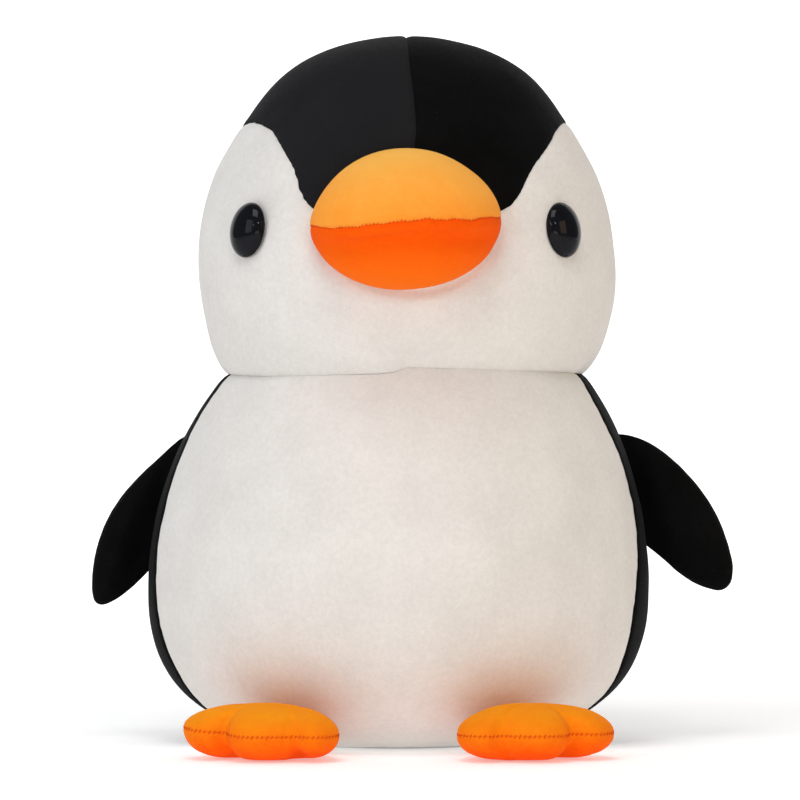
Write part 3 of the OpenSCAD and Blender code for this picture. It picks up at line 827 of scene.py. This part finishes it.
def seam_run(bm, on_seam):
    """The seam's points in order along it, each with the surface's direction there."""
    layer = bm.faces.layers.int["panel"]
    keep = {v for v, s in zip(bm.verts, on_seam) if s}
    links = {v: [] for v in keep}
    for e in bm.edges:
        a, b = e.verts
        if a in keep and b in keep and len({f[layer] for f in e.link_faces}) > 1:
            links[a].append(b)
            links[b].append(a)
    ends = [v for v in links if len(links[v]) == 1] or [v for v in links if links[v]]
    ends.sort(key=lambda v: tuple(v.co))
    bm.normal_update()
    run, seen, at = [], set(), ends[0]
    while at is not None:
        seen.add(at)
        run.append((*at.co, *at.normal))
        at = next((v for v in links[at] if v not in seen), None)
    return np.array(run)


# ---------- eyes ----------

def make_eye(side):
    """A domed oval of gloss plastic with a rounded rim, a flat back and a ribbed stem."""
    bm = ball(EYE_SQUARES)
    n = places(bm)
    height = np.where(n[:, 2] > 0, EYE_DOME * n[:, 2], EYE_RIM * n[:, 2] ** 3) + EYE_RIM
    c, s = math.cos(EYE_LEAN), math.sin(EYE_LEAN)
    x, y = n[:, 0] * EYE_W / 2, n[:, 1] * EYE_H / 2
    move(bm, np.column_stack([x * c - y * s, x * s + y * c, height - EYE_SINK]))
    base = Matrix.Translation((0, 0, -STEM_LEN / 2))
    bmesh.ops.create_cone(bm, cap_ends=True, segments=32, radius1=STEM_R, radius2=STEM_R,
                          depth=STEM_LEN, matrix=base)
    for level in np.arange(RIB_LOW, RIB_HIGH, RIB_PITCH):
        bmesh.ops.create_cone(bm, cap_ends=True, segments=32, radius1=STEM_R - RIB_DEEP,
                              radius2=STEM_R + 0.02, depth=0.8,
                              matrix=Matrix.Translation((0, 0, level)))
    bmesh.ops.transform(bm, matrix=eye_place(), verts=bm.verts)
    if side == "right":
        bmesh.ops.scale(bm, vec=(-1, 1, 1), verts=bm.verts)
        bmesh.ops.reverse_faces(bm, faces=bm.faces)
    bmesh.ops.translate(bm, vec=(HEAD_LEAN, 0, 0), verts=bm.verts)
    finish_piece(bm, f"eye_{side}_dome", GLOSS, [f"eye_{side}"])


# ---------- wings ----------

def outline_reach(points, middle):
    """Half sizes of an outline, and how far it reaches from its middle at each turn."""
    line = curve_through(points, 14, closed=True) - np.array(middle)
    half = np.abs(line).max(axis=0)
    turns = np.arctan2(line[:, 1] / half[1], line[:, 0] / half[0])
    reach = np.hypot(line[:, 0] / half[0], line[:, 1] / half[1])
    order = np.argsort(turns)
    return half, turns[order], reach[order]


def wing_spot(n, side, deep=0.0):
    """Distances down, out and to the front of a wing's surface in the direction n."""
    middle = WING_MIDDLE[side]
    half, turns, reach = outline_reach(WING_OUTLINE[side], middle)
    share = np.hypot(n[:, 0], n[:, 1])
    turn = np.arctan2(n[:, 1], n[:, 0])
    far = np.interp(turn, turns, reach, period=2 * math.pi) * (1 - deep * 1.6 / half[1])
    u = middle[0] + far * n[:, 0] * half[0]
    v = middle[1] + far * n[:, 1] * half[1]
    full = 0.42 + 0.58 * smooth((v + 4.2) / 15)
    w = (WING_THICK / 2 - deep) * np.sign(n[:, 2]) * np.sqrt(np.maximum(0, 1 - share ** 2.2)) * full
    return u, v, w


def make_wing(side):
    hinge, down, away, front = wing_frame(side)
    bend = tuple(hinge + away * far for far in WING_BLEND)
    body = f"wing_{side}"

    def spread(n, deep=0.0):
        u, v, w = wing_spot(n, side, deep)
        return hinge + np.outer(u, down) + np.outer(v, away) + np.outer(w, front), v

    bm = ball(LIMB_SQUARES)
    cut(bm, places(bm)[:, 2])
    seam = name_panels(bm, face_middles(bm)[:, 2] > 0)
    flat, v = spread(places(bm))
    move(bm, flat)
    face_out(bm)
    out = normals(bm)
    gap = gap_to(flat, flat[seam])
    loose = smooth((v + 2) / 8)
    swell = (0.6 * lumps(flat, 22, 21) + 0.15 * lumps(flat, 8, 22)) * loose * smooth(gap / 5)
    swell += (roll_in(gap, 0.5, 3.6) + puckers(flat, gap, 4.5, 0.15, 6, 23)) * loose
    move(bm, flat + out * swell[:, None])
    for number, half in enumerate(("back", "front")):
        name = f"wing_{side}_{half}"
        finish_piece(panel_of(bm, number), name + "_plush", BLACK, [name],
                     body=body, thick=CLOTH, bend=bend)
    bm.free()
    make_filling(f"wing_{side}", lambda n: spread(n, WING_INSET)[0], body, bend, 24)


def make_filling(name, place, body="torso", bend=None, seed=30, squares=FILL_SQUARES, rough=0.5):
    """A lumpy mass of fibre inside a stuffed piece."""
    bm = ball(squares)
    n = places(bm)
    p = place(n)
    move(bm, p)
    face_out(bm)
    out = normals(bm)
    move(bm, p + out * (rough * (lumps(p, 7, seed) - 0.4))[:, None])
    finish_piece(bm, name + "_filling_fibre", FIBRE, [name + "_filling"],
                 body=body, bend=bend)


# ---------- feet ----------

def foot_spot(n, side, deep=0.0):
    """Distances ahead, across and up of a foot's surface in the direction n."""
    rim_z, tilt = FOOT_RIM[side]
    half, turns, reach = outline_reach(FOOT_OUTLINE, FOOT_MIDDLE)
    share = np.hypot(n[:, 0], n[:, 1])
    turn = np.arctan2(n[:, 1], n[:, 0])
    far = np.interp(turn, turns, reach, period=2 * math.pi) * (1 - deep * 1.3 / half[1])
    p = FOOT_MIDDLE[0] + far * n[:, 0] * half[0]
    q = far * n[:, 1] * half[1]
    grow = smooth(p / HEEL_LEN)
    rim_z = rim_z + tilt * np.clip(q / 30, 0, 1.2)
    rim = HEEL_Z + (rim_z - HEEL_Z) * grow
    rise = (HEEL_R + (FOOT_THICK - rim_z - HEEL_R) * grow - deep) * np.sqrt(
        np.maximum(0, 1 - share ** 2.4))
    drop = (HEEL_R + (rim_z - HEEL_R) * grow - deep) * np.sqrt(np.maximum(0, 1 - share ** 4))
    return p, q, rim, np.where(n[:, 2] > 0, rise, -drop)


def make_foot(side):
    hinge = hinge_of(f"foot_{side}_flex")
    ahead = on_side((math.sin(FOOT_SPLAY), -math.cos(FOOT_SPLAY), 0), side)
    across = on_side((math.cos(FOOT_SPLAY), math.sin(FOOT_SPLAY), 0), side)
    floor_at = np.array((hinge[0], hinge[1], 0))
    body = f"foot_{side}"
    bend = tuple(hinge + ahead * far for far in FOOT_BLEND)

    def spread(n, deep=0.0):
        p, q, rim, high = foot_spot(n, side, deep)
        toes = np.zeros(len(n))
        for notch, end, depth in FOOT_VALLEYS[side]:
            run = np.array(notch) - end
            from_end = np.column_stack([p, q]) - end
            t = np.clip(from_end @ run / (run @ run), 0, 1.4)
            gap = np.linalg.norm(from_end - t[:, None] * run, axis=1)
            toes += depth * smooth(t / 0.9) * bump_of(gap / (3.2 + 1.6 * t))
        high = high * (1 - toes * np.where(high > 0, 0.45, 1))
        if not deep:
            p = p - 5 * (1 - smooth((p + 4.2) / 10))
        lift = np.outer(rim + high, (0, 0, 1))
        return floor_at + np.outer(p, ahead) + np.outer(q, across) + lift, p

    bm = ball(FOOT_SQUARES)
    cut(bm, places(bm)[:, 2])
    seam = name_panels(bm, face_middles(bm)[:, 2] > 0)
    n = places(bm)
    flat, p = spread(n)
    move(bm, flat)
    face_out(bm)
    out = normals(bm)
    gap = gap_to(flat, flat[seam])
    loose = smooth((p + 1) / 8)
    swell = (0.5 * lumps(flat, 17, 31) + 0.15 * lumps(flat, 6, 32)) * loose
    swell += (roll_in(gap, 0.7, 2.6) + puckers(flat, gap, 3.2, 0.35, 3.5, 33)) * loose
    swell[flat[:, 2] < 2] *= 0.3
    done = flat + out * swell[:, None]
    done[:, 2] = np.maximum(done[:, 2], 0.15)
    move(bm, done)
    sew_line(bm, seam & (p > 8), f"foot_{side}", FOOT_PITCH, body, bend)
    for number, half in enumerate(("sole", "upper")):
        name = f"foot_{side}_{half}"
        finish_piece(panel_of(bm, number), name + "_plush", FOOT_ORANGE, [name],
                     body=body, thick=CLOTH, bend=bend)
    bm.free()
    make_filling(f"foot_{side}", lambda n: spread(n, FOOT_INSET)[0], body, bend, 34)


# ---------- fillings of head and body ----------

def inset(place, deep):
    """A surface function's points, that much nearer its middle."""
    def inner(n):
        p = place(n)
        return p - unit(p - p.mean(axis=0)) * deep
    return inner


def head_fibre(n):
    """The head's filling, hollowed where the eyes' stems and washers are."""
    p = inset(head_place, HEAD_INSET)(n)
    for side in SIDES:
        r = np.linalg.norm(p - EYE_AT[side], axis=1)
        p = p - unit(p - (0, 0, HEAD_Z)) * (13 * (1 - smooth((r - 11) / 6)))[:, None]
    p[:, 2] = np.maximum(p[:, 2], NECK_Z + 0.6)
    return settled(p)


def body_fibre(n):
    """The body's filling, flat at the base and the neck."""
    p = inset(body_place, BODY_INSET)(n)
    p[:, 2] = np.clip(p[:, 2], 2.4, NECK_Z - 0.8)
    return settled(p)


def make_washers():
    """The washers keep their CAD solids and get a plastic of their own."""
    for side in SIDES:
        washer = frame["nodes"][f"eye_washer_{side}"]
        washer.data.materials.clear()
        washer.data.materials.append(WASHER[0])


# ---------- floor, light and camera ----------

def make_stage():
    """A pale floor that curves up into a backdrop, its paper glowing with painted light: dim near the
    toy and brighter further back.
    """
    sweep = [(FLOOR_BACK + SWEEP_R * math.sin(a), SWEEP_R - SWEEP_R * math.cos(a))
             for a in np.linspace(0.1, math.pi / 2, 16)]
    side_view = [(FLOOR_FRONT, FLOOR_LEVEL), (FLOOR_BACK, FLOOR_LEVEL), *sweep,
                 (FLOOR_BACK + SWEEP_R, BACKDROP_TOP)]
    bm = bmesh.new()
    run = [bm.verts.new((-FLOOR_HALF, y, z)) for y, z in side_view]
    edges = [bm.edges.new(pair) for pair in zip(run, run[1:])]
    made = bmesh.ops.extrude_edge_only(bm, edges=edges)["geom"]
    far_side = [v for v in made if isinstance(v, bmesh.types.BMVert)]
    bmesh.ops.translate(bm, vec=(2 * FLOOR_HALF, 0, 0), verts=far_side)
    bmesh.ops.recalc_face_normals(bm, faces=bm.faces)
    mesh = bpy.data.meshes.new("studio_floor")
    bm.to_mesh(mesh)
    bm.free()
    mesh.shade_smooth()
    floor = bpy.data.objects.new("studio_floor", mesh)
    bpy.context.scene.collection.objects.link(floor)
    paper = Finish("glowing_paper", Roughness=0.9, Specular_IOR_Level=0.1, Emission_Strength=1.0)
    where = paper.where()
    away = paper.range(paper.node("ShaderNodeSeparateXYZ", {}, {0: where}, out=1), 0.2, 1.6)
    # Painted light: the paper glows of itself, dimmer near the toy and brighter further back
    paper.set("Emission Color", paper.mix(away, grey(0.32), grey(0.8)))
    paper.set("Base Color", paper.mix(paper.noise(where, 30), grey(0.9), grey(0.93)))
    mesh.materials.append(paper.material)


def area_light(name, at, towards, size, power, colour, tall=None):
    """A soft panel of light aimed at a place: metres, and watts."""
    light = bpy.data.lights.new(name, "AREA")
    light.shape = "RECTANGLE"
    light.size, light.size_y = size, tall or size
    light.energy, light.color = power, colour
    lamp = bpy.data.objects.new(name, light)
    bpy.context.scene.collection.objects.link(lamp)
    lamp.location = at
    lamp.rotation_euler = (Vector(towards) - Vector(at)).to_track_quat("-Z", "Y").to_euler()


def make_lights():
    middle = (0, 0, 0.18)
    area_light("top_soft", (-0.25, -0.95, 1.9), middle, 1.0, 14.5, (0.98, 0.98, 1.0))
    area_light("key_cool", (-1.5, -1.5, 0.9), middle, 1.1, 7.2, (0.88, 0.94, 1.0))
    area_light("fill_warm", (1.6, -1.4, 0.8), middle, 1.0, 6.3, (1.0, 0.68, 0.36))
    area_light("low_front", (0.2, -2.0, 0.2), (0, 0, 0.06), 1.0, 2.2, (1.0, 0.80, 0.60), 0.25)
    area_light("lamp_left", (-0.75, -1.7, 0.95), middle, 0.05, 2.6, (0.85, 0.9, 1.0))
    area_light("lamp_right", (0.35, -1.8, 1.1), middle, 0.05, 2.2, (0.95, 0.97, 1.0))
    world = bpy.data.worlds.new("studio_air")
    world.use_nodes = True
    air = world.node_tree.nodes["Background"].inputs
    air["Color"].default_value = (1.0, 0.99, 0.975, 1)
    air["Strength"].default_value = 0.19
    bpy.context.scene.world = world


def make_camera():
    data = bpy.data.cameras.new("view")
    data.sensor_width = SENSOR_MM
    data.lens = SENSOR_MM * CAMERA_AWAY / VIEW_WIDTH
    camera = bpy.data.objects.new("view", data)
    bpy.context.scene.collection.objects.link(camera)
    camera.location = (CAMERA_X, -CAMERA_AWAY, CAMERA_Z)
    camera.rotation_euler = (math.pi / 2, 0, 0)
    bpy.context.scene.camera = camera


bpy.context.scene.view_settings.view_transform = "Standard"
make_camera()
make_stage()
make_lights()
make_head()
make_body()
make_beak()
make_washers()
for side_name in SIDES:
    make_eye(side_name)
    make_wing(side_name)
    make_foot(side_name)
make_filling("head", head_fibre, seed=41, squares=TORSO_FILL_SQUARES, rough=0.9)
make_filling("body", body_fibre, seed=42, squares=TORSO_FILL_SQUARES, rough=0.9)
